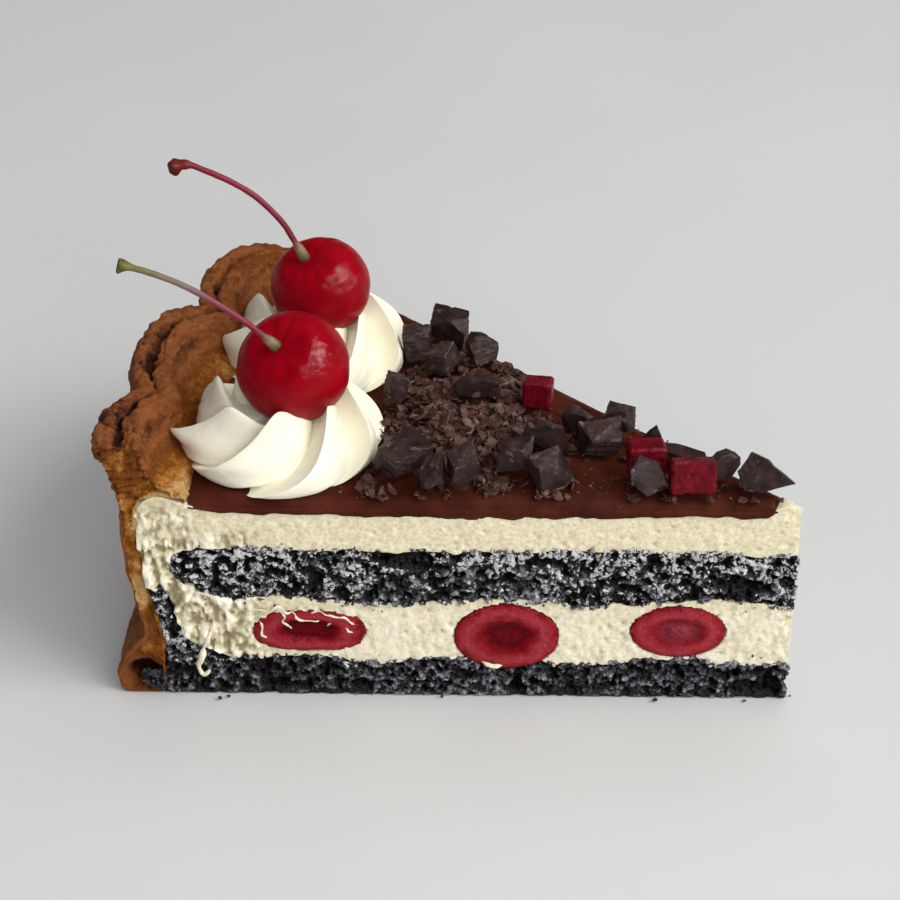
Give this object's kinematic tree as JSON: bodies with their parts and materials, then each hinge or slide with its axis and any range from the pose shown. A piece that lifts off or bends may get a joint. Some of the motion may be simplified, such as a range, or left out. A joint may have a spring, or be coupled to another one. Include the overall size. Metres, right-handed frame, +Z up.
{
  "type": "black forest cake slice",
  "caption": "Wedge of dark sponge and white cream with cherries in the filling, in a fluted pastry crust, topped with chocolate glaze, piped cream, stemmed cherries and chopped chocolate.",
  "frame": {"origin": "bottom centre of the slice's bounding box", "axes": "+Z up; the slice's tip points to +X and its near cut faces -Y"},
  "size_m": [0.1176, 0.0832, 0.0819],
  "materials": {
    "pastry": "baked golden brown, darker on the outer edge",
    "dark_sponge": "near-black open crumb",
    "cream": "ivory, fine-grained where it was cut",
    "whipped_cream": "smooth ivory with a soft sheen",
    "ganache": "satin reddish dark brown",
    "dark_chocolate": "satin, lighter on broken edges",
    "cherry": "wet and glossy",
    "cherry_stem": "dry, from dark red to olive green",
    "cherry_flesh": "wet cut flesh",
    "fruit_jelly": "slightly clear crimson"
  },
  "bodies": {
    "root": {"cherry_back": "cherry", "cherry_front": "cherry", "chocolate_chunk_01": "dark_chocolate", "chocolate_chunk_02": "dark_chocolate", "chocolate_chunk_03": "dark_chocolate", "chocolate_chunk_04": "dark_chocolate", "chocolate_chunk_05": "dark_chocolate", "chocolate_chunk_06": "dark_chocolate", "chocolate_chunk_07": "dark_chocolate", "chocolate_chunk_08": "dark_chocolate", "chocolate_chunk_09": "dark_chocolate", "chocolate_chunk_10": "dark_chocolate", "chocolate_chunk_11": "dark_chocolate", "chocolate_chunk_12": "dark_chocolate", "chocolate_chunk_13": "dark_chocolate", "chocolate_chunk_14": "dark_chocolate", "chocolate_chunk_15": "dark_chocolate", "chocolate_chunk_16": "dark_chocolate", "chocolate_chunk_17": "dark_chocolate", "chocolate_chunk_18": "dark_chocolate", "chocolate_chunk_19": "dark_chocolate", "chocolate_chunk_20": "dark_chocolate", "cream_filling": "cream", "filling_cherry_far_1": "cherry_flesh", "filling_cherry_far_2": "cherry_flesh", "filling_cherry_far_3": "cherry_flesh", "filling_cherry_near_1": "cherry_flesh", "filling_cherry_near_2": "cherry_flesh", "filling_cherry_near_3": "cherry_flesh", "ganache_top": "ganache", "jelly_square_back": "fruit_jelly", "jelly_square_front": "fruit_jelly", "jelly_square_middle": "fruit_jelly", "pastry_crust": "pastry", "rosette_back": "whipped_cream", "rosette_front": "whipped_cream", "shavings_heap": "dark_chocolate", "sponge_base": "dark_sponge", "sponge_middle": "dark_sponge", "stem_back": "cherry_stem", "stem_front": "cherry_stem"}
  },
  "joints": []
}
